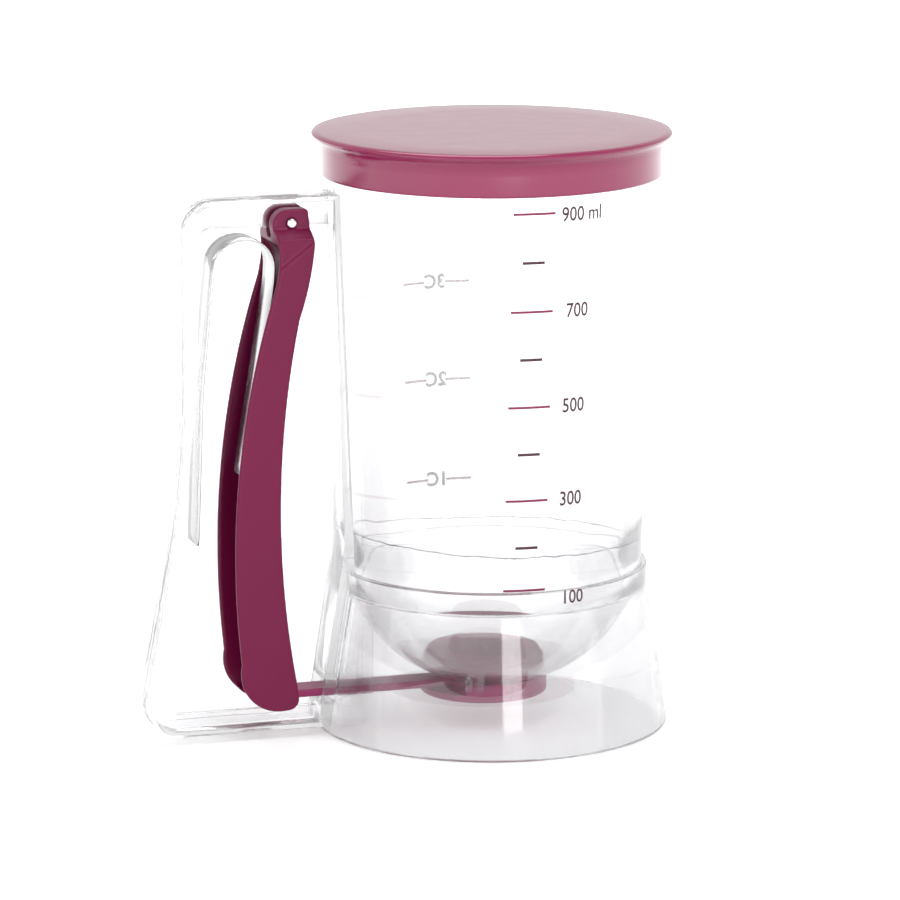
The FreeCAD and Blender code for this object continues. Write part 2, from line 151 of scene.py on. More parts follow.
def coloured_plastic(name, deep, bright, rough, grain=0.04, spec=0.5, coat=0.0):
    """Moulded plastic with a satin skin: fine grain, slow colour drift and a few rub marks."""
    mat, tree, shader = new_material(name)
    shader.inputs["IOR"].default_value = 1.49
    shader.inputs["Specular IOR Level"].default_value = spec
    shader.inputs["Coat Weight"].default_value = coat
    shader.inputs["Coat Roughness"].default_value = 0.14
    drift = noise_node(tree, 14.0, 2.0, 0.5)
    ramp = add_node(tree, "ShaderNodeMix", data_type="RGBA")
    ramp.inputs["A"].default_value = (*deep, 1)
    ramp.inputs["B"].default_value = (*bright, 1)
    tree.links.new(map_range(tree, drift.outputs["Fac"], 0.3, 0.7, 0.0, 1.0), ramp.inputs["Factor"])
    tree.links.new(ramp.outputs["Result"], shader.inputs["Base Color"])
    skin = noise_node(tree, 2400.0, 2.0, 0.5)
    bump(tree, shader, skin.outputs["Fac"], grain, 0.0001)
    rub = noise_node(tree, 160.0, 4.0, 0.6)
    value = map_range(tree, rub.outputs["Fac"], 0.35, 0.75, rough - 0.015, rough + 0.03)
    tree.links.new(value, shader.inputs["Roughness"])
    return mat


def steel(name, along, rough=0.22):
    """Rolled steel: fine lines along the strip and slow tone changes."""
    mat, tree, shader = new_material(name)
    shader.inputs["Metallic"].default_value = 1.0
    lines = noise_node(tree, 300.0, 3.0, 0.6, along)
    tone = add_node(tree, "ShaderNodeMix", data_type="RGBA")
    tone.inputs["A"].default_value = (0.50, 0.50, 0.50, 1)
    tone.inputs["B"].default_value = (0.74, 0.74, 0.74, 1)
    tree.links.new(lines.outputs["Fac"], tone.inputs["Factor"])
    tree.links.new(tone.outputs["Result"], shader.inputs["Base Color"])
    bump(tree, shader, lines.outputs["Fac"], 0.12, 0.0001)
    value = map_range(tree, lines.outputs["Fac"], 0.3, 0.7, rough - 0.06, rough + 0.08)
    tree.links.new(value, shader.inputs["Roughness"])
    return mat


def print_ink(name, colour):
    """Screen ink with slightly uneven cover."""
    mat, tree, shader = new_material(name)
    cover = noise_node(tree, 900.0, 3.0, 0.6)
    tone = add_node(tree, "ShaderNodeMix", data_type="RGBA")
    tone.inputs["A"].default_value = (*colour, 1)
    tone.inputs["B"].default_value = (*[min(1.0, c * 1.25 + 0.03) for c in colour], 1)
    tree.links.new(map_range(tree, cover.outputs["Fac"], 0.45, 0.8, 0.0, 0.7), tone.inputs["Factor"])
    tree.links.new(tone.outputs["Result"], shader.inputs["Base Color"])
    shader.inputs["Roughness"].default_value = 0.45
    return mat


CLEAR = clear_plastic("clear_wall")
CLEAR_THICK = clear_plastic("clear_handle", wave=0.35, thin=0.12)
CLEAR_BASE = clear_plastic("clear_base", wave=0.4, rough=0.03, thin=0.2)
LID_MAT = coloured_plastic("lid_magenta", (0.285, 0.0025, 0.072), (0.295, 0.003, 0.076), 0.22,
                           grain=0.012, spec=0.4, coat=0.8)
TRIGGER_MAT = coloured_plastic("trigger_magenta", (0.165, 0.0015, 0.046), (0.178, 0.002, 0.051), 0.34,
                               grain=0.03, spec=0.3)
GATE_MAT = coloured_plastic("gate_magenta", (0.29, 0.006, 0.10), (0.32, 0.008, 0.11), 0.32)
SEAT_MAT = coloured_plastic("seat_magenta", (0.22, 0.002, 0.055), (0.25, 0.003, 0.065), 0.6,
                            grain=0.05, spec=0.0)
STRIP_MAT = steel("spring_steel", (1.0, 1.0, 0.06))
PIN_MAT = steel("pin_steel", (1.0, 0.08, 1.0), 0.2)
INK_RED = print_ink("ink_magenta", (0.24, 0.012, 0.07))
INK_DARK = print_ink("ink_dark", (0.06, 0.012, 0.03))


def glue():
    """Cured adhesive: grey, patchy, slightly glossy."""
    mat, tree, shader = new_material("cured_glue")
    patch = noise_node(tree, 260.0, 3.0, 0.6)
    tone = add_node(tree, "ShaderNodeMix", data_type="RGBA")
    tone.inputs["A"].default_value = (0.10, 0.10, 0.11, 1)
    tone.inputs["B"].default_value = (0.42, 0.42, 0.43, 1)
    tree.links.new(map_range(tree, patch.outputs["Fac"], 0.35, 0.7, 0.0, 1.0), tone.inputs["Factor"])
    tree.links.new(tone.outputs["Result"], shader.inputs["Base Color"])
    shader.inputs["Roughness"].default_value = 0.35
    return mat


GLUE_MAT = glue()


def dress(name, mat):
    obj = nodes_cad[name]
    obj.data.materials.clear()
    obj.data.materials.append(mat)


dress("pivot_pin", PIN_MAT)


# Mesh helpers

def mesh_object(name, verts, faces, mat, body, smooth=True):
    mesh = bpy.data.meshes.new(name)
    mesh.from_pydata([Vector(v) * MM for v in verts], [], faces)
    mesh.update()
    obj = bpy.data.objects.new(name, mesh)
    bpy.context.scene.collection.objects.link(obj)
    mesh.materials.append(mat)
    for poly in mesh.polygons:
        poly.use_smooth = smooth
    if body:
        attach(obj, body)
    return obj


def revolved(profile, segments, closed=True):
    """Turns a profile of (radius, height), or (radius, height, shift along X), about the vessel's axis."""
    verts, faces = [], []
    count = len(profile)
    for k in range(segments):
        angle = 2 * math.pi * k / segments
        c, s = math.cos(angle), math.sin(angle)
        for point in profile:
            shift = point[2] if len(point) > 2 else 0.0
            verts.append((shift + point[0] * c, point[0] * s, point[1]))
    for k in range(segments):
        here = k * count
        there = ((k + 1) % segments) * count
        for i in range(count if closed else count - 1):
            j = (i + 1) % count
            faces.append((here + i, there + i, there + j, here + j))
    return verts, faces


def soft_corners(points, radius, steps=4):
    """Rounds each corner of a closed profile by up to the given radius."""
    out = []
    count = len(points)
    for i in range(count):
        corner = Vector(points[i][:2])
        before = Vector(points[i - 1][:2])
        after = Vector(points[(i + 1) % count][:2])
        back = before - corner
        ahead = after - corner
        turn = math.pi - back.angle(ahead)
        if turn < 0.15:
            out.append(tuple(corner))
            continue
        reach = min(radius * math.tan(turn / 2), back.length * 0.45, ahead.length * 0.45)
        start = corner + back.normalized() * reach
        end = corner + ahead.normalized() * reach
        for k in range(steps + 1):
            t = k / steps
            out.append(tuple(start * (1 - t) ** 2 + corner * 2 * t * (1 - t) + end * t ** 2))
    return out


def raw_object(name, verts, faces):
    """Scratch object in metres that is used up by a boolean."""
    mesh = bpy.data.meshes.new(name)
    mesh.from_pydata([Vector(v) * MM for v in verts], [], faces)
    work = bmesh.new()
    work.from_mesh(mesh)
    bmesh.ops.recalc_face_normals(work, faces=work.faces[:])
    work.to_mesh(mesh)
    work.free()
    obj = bpy.data.objects.new(name, mesh)
    bpy.context.scene.collection.objects.link(obj)
    return obj


def applied(obj):
    """Mesh of the object with its modifiers worked in."""
    deps = bpy.context.evaluated_depsgraph_get()
    deps.update()
    mesh = bpy.data.meshes.new_from_object(obj.evaluated_get(deps))
    obj.modifiers.clear()
    obj.data = mesh
    return obj


def bevelled(obj, width, limit):
    mod = obj.modifiers.new("edge", "BEVEL")
    mod.width = width * MM
    mod.segments = 2
    mod.limit_method = "ANGLE"
    mod.angle_limit = math.radians(limit)
    return applied(obj)


def combine(base, tool, operation):
    mod = base.modifiers.new("cut", "BOOLEAN")
    mod.operation = operation
    mod.solver = "MANIFOLD"
    mod.object = tool
    applied(base)
    bpy.data.objects.remove(tool)
    return base


def softened(node, name, mat, body, voxel, rounds):
    """A copy of a CAD node with the moulded edge radii that the solid leaves out."""
    obj = bpy.data.objects.new(name, nodes_cad[node].data.copy())
    bpy.context.scene.collection.objects.link(obj)
    obj.data.materials.clear()
    weld = obj.modifiers.new("weld", "WELD")
    weld.merge_threshold = 0.00001
    mod = obj.modifiers.new("skin", "REMESH")
    mod.mode = "VOXEL"
    mod.voxel_size = voxel * MM
    mod.use_smooth_shade = True
    smooth = obj.modifiers.new("soften", "SMOOTH")
    smooth.factor = 0.5
    smooth.iterations = rounds
    applied(obj)
    obj.data.materials.append(mat)
    for poly in obj.data.polygons:
        poly.use_smooth = True
        poly.material_index = 0
    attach(obj, body)
    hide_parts(node)
    return obj


softened("trigger", "trigger_lever", TRIGGER_MAT, "trigger", 0.36, 7)
softened("valve_collar", "collar_ring", GATE_MAT, "collar", 0.24, 4)
softened("gate_slide", "gate_arm", GATE_MAT, "gate", 0.3, 3)


# Lid: flat cap with a thin overhanging rim

def lid_cap():
    profile = [
        (0.0, 184.0), (40.0, 184.0), (52.4, 183.93), (54.3, 183.7), (54.75, 183.1), (54.5, 182.35),
        (53.6, 181.75), (52.75, 180.9), (52.3, 179.4), (52.2, 177.0), (52.2, 171.6), (52.15, 171.05),
        (51.9, 170.82), (51.35, 170.82),
        (51.05, 171.1), (51.0, 172.0), (51.0, 181.05), (48.1, 181.05), (48.1, 182.6), (0.0, 182.6),
    ]
    verts, faces = revolved(profile, 256, closed=False)
    obj = mesh_object("lid_cap", verts, faces, LID_MAT, "lid")
    work = bmesh.new()
    work.from_mesh(obj.data)
    bmesh.ops.remove_doubles(work, verts=work.verts[:], dist=0.000002)
    bmesh.ops.recalc_face_normals(work, faces=work.faces[:])
    work.to_mesh(obj.data)
    work.free()
    obj.data.set_sharp_from_angle(angle=math.radians(50))
    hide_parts("lid")
    return obj


lid_cap()


# Seat ring in the bowl's outlet

def seat():
    outline = soft_corners([
        (10.0, 14.5), (14.9, 14.5), (14.9, 17.6), (18.7, 17.62), (18.7, 20.2), (17.5, 20.5),
        (17.5, 22.3), (11.0, 22.3), (11.0, 18.0), (10.0, 16.5),
    ], 0.45)
    verts, faces = revolved([(r, z, OUTLET_X) for r, z in outline], 160)
    obj = mesh_object("seat_gasket", verts, faces, SEAT_MAT, "vessel")
    obj.data.set_sharp_from_angle(angle=math.radians(60))
    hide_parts("seat_ring")
    return obj


seat()


# Clear mouldings. Where two are glued there is no face between them, so light passes straight through.

def skirt_r(z):
    """Outer radius of the skirt: an arc through its three set radii, straight above it."""
    if z >= FOOT_Z:
        return SKIRT_TOP_R
    t = z / FOOT_Z
    return BASE_R * (1 - t) * (1 - 2 * t) + SKIRT_MID_R * 4 * t * (1 - t) + SKIRT_TOP_R * t * (2 * t - 1)


def body_r(z):
    return skirt_r(z) if z <= LEDGE_Z else tube_r(z)


def bowl_r(z):
    return BOWL_R * math.sqrt(max(0.0, 1 - ((BOWL_Z - z) / BOWL_DEPTH) ** 2))


def inner_wall_r(z):
    """Inner radius: the tube's wall runs smoothly into the bowl's."""
    if z >= BLEND_TOP_Z:
        return tube_r(z) - WALL
    t = (z - BOWL_Z) / (BLEND_TOP_Z - BOWL_Z)
    return BOWL_R - BOWL_WALL + (tube_r(BLEND_TOP_Z) - WALL - BOWL_R + BOWL_WALL) * t * t * (3 - 2 * t)


def bowl_arc(radius, depth, start, end, steps=24):
    """Points of the bowl's ellipse between two angles below its rim."""
    turns = [start + (end - start) * k / steps for k in range(steps + 1)]
    return [(radius * math.cos(t), BOWL_Z - depth * math.sin(t)) for t in turns]


def body_profile():
    """Up the outside of skirt and tube, down the inside to the outlet, and back under the bowl."""
    skirt_z = [FOOT_Z * k / 16 for k in range(1, 17)]
    points = [(BASE_R - 0.25, 0.0), (BASE_R, 0.25)]
    points += [(skirt_r(z), z) for z in skirt_z]
    points += [(SKIRT_TOP_R, 46.5), (SKIRT_TOP_R, 50.0), (47.6, LEDGE_Z), (46.35, LEDGE_Z), (46.22, 50.42)]
    points += [(tube_r(z), z) for z in (52, 60, 75, 90, 105, 120, 135, 150, 165, 176, 180.4)]
    points += [(50.2, 181.0), (49.0, 181.0)]
    levels = (180.4, 176, 165, 150, 135, 120, 105, 90, 75, 66, 64, 62, 60, 58, 56, 54, 52, 51)
    points += [(inner_wall_r(z), z) for z in levels]
    inner_d = BOWL_DEPTH - BOWL_WALL
    points += bowl_arc(BOWL_R - BOWL_WALL, inner_d, 0.0, math.asin((BOWL_Z - PLATE_HIGH_Z) / inner_d))
    points += [(OUTLET_R, PLATE_HIGH_Z, OUTLET_X), (OUTLET_R, PLATE_LOW_Z, OUTLET_X)]
    under = [math.asin((BOWL_Z - z) / BOWL_DEPTH) for z in (PLATE_LOW_Z, FOOT_Z)]
    points += bowl_arc(BOWL_R, BOWL_DEPTH, under[0], under[1])
    points += [(45.3, FOOT_Z), (45.65, 42.7)]
    points += [(skirt_r(z) - WALL, z) for z in skirt_z[-2::-1]]
    points += [(52.1, 0.25), (52.35, 0.0)]
    return points


def corner_arc(corners, i, radius):
    """Start, end and centre of the tangent arc at an inner corner."""
    corner = Vector(corners[i])
    back = (Vector(corners[i - 1]) - corner).normalized()
    ahead = (Vector(corners[i + 1]) - corner).normalized()
    half = back.angle(ahead) / 2
    reach = radius / math.tan(half)
    centre = corner + (back + ahead).normalized() * (radius / math.sin(half))
    return corner + back * reach, corner + ahead * reach, centre


def flat_path(corners, radii, arc_steps=16):
    """Corner points with tangent arcs, the same number of points for every arc."""
    points = [Vector(corners[0])]
    for i in range(1, len(corners) - 1):
        start, end, centre = corner_arc(corners, i, radii[i - 1])
        a0, a1 = start - centre, end - centre
        turn = math.atan2(a0.x * a1.y - a0.y * a1.x, a0.dot(a1))
        for k in range(arc_steps + 1):
            angle = turn * k / arc_steps
            c, s = math.cos(angle), math.sin(angle)
            points.append(centre + Vector((a0.x * c - a0.y * s, a0.x * s + a0.y * c)))
    points.append(Vector(corners[-1]))
    return points


def band(name, outer, inner, half_width):
    """Solid between two open paths of the same number of points, to both sides of the XZ plane."""
    count = len(outer)
    verts = []
    for y in (-half_width, half_width):
        verts += [(p[0], y, p[1]) for p in outer]
        verts += [(p[0], y, p[1]) for p in inner]
    faces = []
    side = 2 * count
    for i in range(count - 1):
        faces.append((i, i + 1, count + i + 1, count + i))
        faces.append((side + i, side + i + 1, side + count + i + 1, side + count + i))
        faces.append((i, i + 1, side + i + 1, side + i))
        faces.append((count + i, count + i + 1, side + count + i + 1, side + count + i))
    for i in (0, count - 1):
        faces.append((i, count + i, side + count + i, side + i))
    return raw_object(name, verts, faces)


def loop_path(depth):
    """The handle loop's outline, set in by a depth from its outer faces."""
    top, bottom = TOP_BAR_Z - depth, BOTTOM_BAR_Z + depth
    low_x = GRIP_X - GRIP_LEAN * (GRIP_BEND_Z - bottom) + depth
    grip_x = GRIP_X + depth
    corners = [(LOOP_TOP_END_X, top), (grip_x, top), (grip_x, GRIP_BEND_Z), (low_x, bottom),
               (LOOP_LOW_END_X, bottom)]
    return flat_path(corners, [10.0 - depth, 300.0 - depth, 12.0 - depth])


def wall_strip_front(z):
    """Free face of the strip down the vessel: two straight runs that meet at its bend."""
    if z >= STRIP_BEND_Z:
        return STRIP_BEND_X - 2.74 * (z - STRIP_BEND_Z) / 107.4
    return STRIP_BEND_X - 8.74 * (STRIP_BEND_Z - z) / 56.8


def handle_pieces():
    strip = bevelled(band("strip", loop_path(0.0), loop_path(STRIP_T), STRIP_HALF_W), 0.35, 50)
    outer = [(LOOP_TOP_END_X, 166.0), (-97.3, 166.0), (-97.3, GRIP_BEND_Z), (-112.6, 3.6), (LOOP_LOW_END_X, 3.6)]
    inner = [(LOOP_TOP_END_X, 157.5), (-91.6, 157.5), (-93.4, 106.0), (-104.5, 8.6), (LOOP_LOW_END_X, 8.6)]
    web_outer = flat_path(outer, [9.0, 299.0, 11.0])
    web_inner = flat_path(inner, [3.0, 420.0, 4.0])
    web = bevelled(band("web", web_outer, web_inner, WEB_HALF_T), 0.25, 50)
    levels = [TOP_BAR_Z, 140.0, 110.0, 85.0, STRIP_BEND_Z, 51.0, 50.0, FOOT_Z, 36.0, 29.0, 21.5, 14.0, 8.0,
              BOTTOM_BAR_Z]
    front = [(wall_strip_front(z), z) for z in levels]
    back = [(-(body_r(z) - WALL / 2), z) for z in levels]
    wall_strip = bevelled(band("wall_strip", front, back, STRIP_HALF_W), 0.35, 60)
    return [strip, web, wall_strip]


def box_object(name, x0, x1, y0, y1, z0, z1):
    verts = [(x, y, z) for x in (x0, x1) for y in (y0, y1) for z in (z0, z1)]
    faces = [(0, 1, 3, 2), (4, 6, 7, 5), (0, 4, 5, 1), (2, 3, 7, 6), (0, 2, 6, 4), (1, 5, 7, 3)]
    return raw_object(name, verts, faces)


def rod(name, radius, start, end, segments=40):
    """Round bar between two points."""
    a, b = Vector(start), Vector(end)
    axis = (b - a).normalized()
    side = axis.orthogonal().normalized()
    up = axis.cross(side)
    verts = []
    for centre in (a, b):
        for k in range(segments):
            t = 2 * math.pi * k / segments
            verts.append(tuple(centre + side * (radius * math.cos(t)) + up * (radius * math.sin(t))))
    faces = [(k, (k + 1) % segments, segments + (k + 1) % segments, segments + k) for k in range(segments)]
    faces += [tuple(range(segments)), tuple(range(segments, 2 * segments))]
    return raw_object(name, verts, faces)


def guide_plate(side):
    """Plate behind the skirt's wall that guides the gate arm, its top edge clear of the bowl."""
    y0, y1 = sorted((side * SLOT_HALF_W, side * STRIP_HALF_W))
    edge = [(-39.6, 12.3), (-39.6, 33.1), (-42.5, 38.6), (-44.1, 42.2), (-45.2, 42.9)]
    wall = [(-(skirt_r(z) - WALL / 2), z) for z in (42.9, 36.0, 29.0, 21.5, 12.3)]
    outline = edge + wall
    count = len(outline)
    verts = [(x, y0, z) for x, z in outline] + [(x, y1, z) for x, z in outline]
    faces = [tuple(range(count)), tuple(range(2 * count - 1, count - 1, -1))]
    faces += [(i, (i + 1) % count, count + (i + 1) % count, count + i) for i in range(count)]
    return raw_object("plate", verts, faces)


def ring_block(r0, r1, z0, z1, from_deg, to_deg, steps=8):
    verts, faces = [], []
    for k in range(steps + 1):
        angle = math.radians(from_deg + (to_deg - from_deg) * k / steps)
        c, s = math.cos(angle), math.sin(angle)
        verts += [(OUTLET_X + r * c, r * s, z) for r, z in ((r0, z0), (r1, z0), (r1, z1), (r0, z1))]
    for k in range(steps):
        for i in range(4):
            a, b = 4 * k + i, 4 * k + (i + 1) % 4
            faces.append((a, b, b + 4, a + 4))
    faces += [(0, 1, 2, 3), tuple(4 * steps + i for i in range(4))]
    return raw_object("tab", verts, faces)


def pivot_rod(name, radius, half_length):
    return rod(name, radius, (PIVOT_X, -half_length, PIVOT_Z), (PIVOT_X, half_length, PIVOT_Z))


def clear_body():
    verts, faces = revolved(body_profile(), 224)
    body = raw_object("clear_all", verts, faces)
    for piece in handle_pieces():
        combine(body, piece, "UNION")
    combine(body, pivot_rod("lug", PIVOT_LUG_R, WEB_HALF_T), "UNION")
    for side in (-1, 1):
        combine(body, guide_plate(side), "UNION")
    for middle in TAB_DEG:
        start, end = middle - TAB_HALF_DEG, middle + TAB_HALF_DEG
        combine(body, ring_block(15.5, 17.0, 12.7, 16.2, start, end), "UNION")
        combine(body, ring_block(15.5, 18.3, 12.7, 13.8, start, end), "UNION")
    for angle in LUG_DEG:
        x = OUTLET_X + LUG_RING_R * math.cos(math.radians(angle))
        y = LUG_RING_R * math.sin(math.radians(angle))
        combine(body, rod("lug", LUG_R, (x, y, 13.4), (x, y, 17.0), 20), "UNION")
    slot = box_object("slot", -62, -45, -SLOT_HALF_W, SLOT_HALF_W, SLOT_LOW_Z, SLOT_HIGH_Z)
    combine(body, slot, "DIFFERENCE")
    combine(body, pivot_rod("bore", PIN_R, 3), "DIFFERENCE")
    return body


def clear_home(c):
    """Which moulding a face of the clear body belongs to, from its centre in millimetres."""
    x, y, z = c
    r = math.hypot(x, y)
    if x < -44 and abs(y) < 7.2 and z > 2.6 and r > body_r(z) + 0.05:
        return "handle"
    if z > BOND_Z + 0.15:
        return "tube"
    if z > LEDGE_Z + 0.02 and r > tube_r(z) - 0.6:
        return "tube"
    if z >= FOOT_Z - 0.01 and r < 44.4:
        return "bowl"
    if 15.5 < z < FOOT_Z - 0.01 and r < bowl_r(max(z, PLATE_LOW_Z)) + 0.12:
        return "bowl"
    if 12 < z <= 17.0 and math.hypot(x - OUTLET_X, y) < 22.5:
        return "bowl"
    return "skirt"


def split_clear(source):
    groups = {"tube": [], "bowl": [], "skirt": [], "handle": []}
    mesh = source.data
    for poly in mesh.polygons:
        groups[clear_home(tuple(v / MM for v in poly.center))].append(poly.index)
    names = {
        "tube": ("clear_tube", "vessel_tube", CLEAR),
        "bowl": ("clear_bowl", "bowl", CLEAR),
        "skirt": ("clear_skirt", "base_skirt", CLEAR_BASE),
        "handle": ("clear_handle", "handle_frame", CLEAR_THICK),
    }
    mesh.set_sharp_from_angle(angle=math.radians(28))
    for key, (name, node, mat) in names.items():
        part = mesh.copy()
        work = bmesh.new()
        work.from_mesh(part)
        work.faces.ensure_lookup_table()
        keep = set(groups[key])
        gone = [f for f in work.faces if f.index not in keep]
        bmesh.ops.delete(work, geom=gone, context="FACES")
        work.to_mesh(part)
        work.free()
        part.materials.clear()
        part.materials.append(mat)
        for poly in part.polygons:
            poly.use_smooth = True
        obj = bpy.data.objects.new(name, part)
        bpy.context.scene.collection.objects.link(obj)
        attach(obj, "vessel")
        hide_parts(node)
    bpy.data.objects.remove(source)


split_clear(clear_body())


# Glue line round the inside of the wall, where the bowl is bonded in

def glue_line():
    heights = [(0, 55.7), (40, 54.6), (90, 54.0), (125, 56.0), (150, 59.5), (180, 62.6),
               (215, 62.4), (245, 61.2), (270, 60.4), (300, 59.9), (325, 59.0), (345, 57.2)]
    steps = 720
    verts, faces = [], []
    ring = 6
    for k in range(steps):
        deg = 360.0 * k / steps
        after = next((i for i, h in enumerate(heights) if h[0] > deg), len(heights))
        a = heights[after - 1]
        b = heights[after % len(heights)]
        span = (b[0] - a[0]) % 360
        t = ((deg - a[0]) % 360) / span
        t = t * t * (3 - 2 * t)
        z = a[1] + (b[1] - a[1]) * t
        angle = math.radians(deg)
        c, s = math.cos(angle), math.sin(angle)
        spot = Vector((c * 3, s * 3, 0.3))
        z += 0.42 * noise.noise(spot * 2.2) + 0.22 * noise.noise(spot * 9.0) + 0.10 * noise.noise(spot * 31.0)
        thick = 0.10 + 0.09 * abs(noise.noise(spot * 5.0)) + 0.10 * max(0.0, noise.noise(spot * 17.0))
        radius = inner_wall_r(z) - 0.01
        for i in range(ring):
            phi = 2 * math.pi * i / ring
            r = radius - 0.10 + 0.12 * math.cos(phi)
            verts.append((r * c, r * s, z + thick * math.sin(phi)))
    for k in range(steps):
        for i in range(ring):
            a = k * ring + i
            b = k * ring + (i + 1) % ring
            nxt = ((k + 1) % steps) * ring
            faces.append((a, nxt + i, nxt + (i + 1) % ring, b))
    return mesh_object("glue_line", verts, faces, GLUE_MAT, "vessel")


glue_line()


# Return spring: a bent strip that follows the handle at one end and the trigger at the other

def tangent_path(corners, radii, step):
    """Points along straight runs joined by tangent arcs, in the XZ plane."""
    points = [Vector(corners[0])]
    for i in range(1, len(corners) - 1):
        start, end, centre = corner_arc(corners, i, radii[i - 1])
        a0 = start - centre
        turn = a0.angle_signed(end - centre)
        count = max(6, int(abs(turn) * radii[i - 1] / step))
        run = start - points[-1]
        for k in range(1, max(2, int(run.length / step))):
            points.append(points[-1] + run / max(2, int(run.length / step)))
        for k in range(count + 1):
            angle = -turn * k / count
            rot = Matrix.Rotation(angle, 2)
            points.append(centre + rot @ a0)
    last = Vector(corners[-1])
    run = last - points[-1]
    count = max(2, int(run.length / step))
    first = points[-1].copy()
    for k in range(1, count + 1):
        points.append(first + run * (k / count))
    return points


def spring_strip():
    corners = [(-94.45, 61.9), (-92.55, 110.0), (-87.9, 154.6), (-69.45, 154.6), (-70.35, 140.0),
               (-79.95, 82.0)]
    path = tangent_path(corners, [200.0, 9.3, 8.6, 60.0], 2.0)
    verts, faces = [], []
    count = len(path)
    edges = []
    for u in (-SPRING_HALF_T, SPRING_HALF_T):
        for v in (-SPRING_HALF_W, SPRING_HALF_W):
            edges.append((u, v - math.copysign(0.18, v)))
            edges.append((u - math.copysign(0.12, u), v))
    order = sorted(edges, key=lambda p: math.atan2(p[1] * 0.08, p[0]))
    for i, point in enumerate(path):
        before = path[max(i - 1, 0)]
        after = path[min(i + 1, count - 1)]
        tangent = (after - before).normalized()
        normal = Vector((-tangent.y, tangent.x))
        width = 1.0
        from_end = (count - 1 - i)
        if from_end < 3:
            width = (0.72, 0.9, 0.98)[from_end]
        if i < 2:
            width = (0.92, 0.99)[i]
        for u, v in order:
            place = point + normal * u
            verts.append((place.x, v * width, place.y))
    ring = len(order)
    for i in range(count - 1):
        for k in range(ring):
            a = i * ring + k
            b = i * ring + (k + 1) % ring
            faces.append((a, b, b + ring, a + ring))
    faces.append(tuple(range(ring - 1, -1, -1)))
    faces.append(tuple((count - 1) * ring + k for k in range(ring)))
    obj = mesh_object("spring_strip", verts, faces, STRIP_MAT, None)
    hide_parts("return_spring")
    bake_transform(obj)
    return obj


spring_strip()


# Volume marks printed on the wall

def wrap(points, z_mid, polar_mid):
    """Puts flat print points (along, up) in millimetres on the tube's outer surface."""
    out = []
    for along, up in points:
        z = z_mid + up
        radius = (tube_r(z) if z_mid > LEDGE_Z else SKIRT_TOP_R) + PRINT_LIFT
        angle = polar_mid + along / radius
        out.append((radius * math.cos(angle), radius * math.sin(angle), z))
    return out


def mark(z, polar_deg, length, height, steps=10):
    flat, faces = [], []
    for i in range(steps + 1):
        x = -length / 2 + length * i / steps
        flat += [(x, -height / 2), (x, height / 2)]
    for i in range(steps):
        a = 2 * i
        faces.append((a, a + 2, a + 3, a + 1))
    return wrap(flat, z, math.radians(polar_deg)), faces


def lettering(text, size, bold=0.0):
    """Flat letter shapes as triangles, centred, in millimetres."""
    curve = bpy.data.curves.new("letters", "FONT")
    curve.body = text
    curve.size = size
    curve.align_x = "CENTER"
    curve.align_y = "CENTER"
    curve.offset = bold
    curve.resolution_u = 4
    temp = bpy.data.objects.new("letters", curve)
    bpy.context.scene.collection.objects.link(temp)
    deps = bpy.context.evaluated_depsgraph_get()
    mesh = bpy.data.meshes.new_from_object(temp.evaluated_get(deps))
    work = bmesh.new()
    work.from_mesh(mesh)
    bmesh.ops.triangulate(work, faces=work.faces[:])
    bmesh.ops.remove_doubles(work, verts=work.verts[:], dist=0.0001)
    work.verts.ensure_lookup_table()
    flat = [(v.co.x, v.co.y) for v in work.verts]
    faces = [tuple(v.index for v in f.verts) for f in work.faces]
    work.free()
    bpy.data.objects.remove(temp)
    bpy.data.curves.remove(curve)
    bpy.data.meshes.remove(mesh)
    return flat, faces


def join_prints(name, parts, mat):
    verts, faces = [], []
    for part_verts, part_faces in parts:
        base = len(verts)
        verts += part_verts
        faces += [tuple(base + i for i in f) for f in part_faces]
    return mesh_object(name, verts, faces, mat, "vessel", smooth=False)


ML_HEIGHTS = {900: 165.7, 800: 151.0, 700: 136.2, 600: 121.7, 500: 107.2, 400: 92.8, 300: 78.6, 200: 64.1,
              100: 50.95}
LABELS = {900: ("900 ml", 165.0, -75.0), 700: ("700", 135.9, -76.3), 500: ("500", 107.0, -77.0),
          300: ("300", 78.4, -77.3), 100: ("100", 48.2, -76.8)}
long_marks, short_marks, labels = [], [], []
for ml, z in ML_HEIGHTS.items():
    if (ml // 100) % 2:
        centre = -92.75 - 2.25 * (900 - ml) / 800
        long_marks.append(mark(z, centre, 12.9, 0.72))
        text, label_z, centre = LABELS[ml]
        flat, faces = lettering(text, 6.1, 0.07)
        flat = [(x * 0.84, y * (0.95 if ml == 100 else 1.0)) for x, y in flat]
        labels.append((wrap(flat, label_z - 0.1, math.radians(centre)), faces))
    else:
        short_marks.append(mark(z, -92.7 - 1.9 * (900 - ml) / 800, 6.8, 0.85))
join_prints("marks_long", long_marks, INK_RED)
join_prints("marks_short", short_marks, INK_DARK)
join_prints("marks_labels", labels, INK_DARK)

CUP_POLAR = 94.6
cup_marks, cup_labels = [], []
for label, z in (("3C", 129.0), ("2C", 98.0), ("1C", 66.1)):
    flat, faces = lettering(label, 6.2, 0.26)
    cup_labels.append((wrap(flat, z, math.radians(CUP_POLAR)), faces))
    for side in (-1, 1):
        cup_marks.append(mark(z, CUP_POLAR + side * 8.9, 8.4, 0.85))
join_prints("cup_marks", cup_marks, INK_RED)
join_prints("cup_labels", cup_labels, INK_DARK)


# Camera

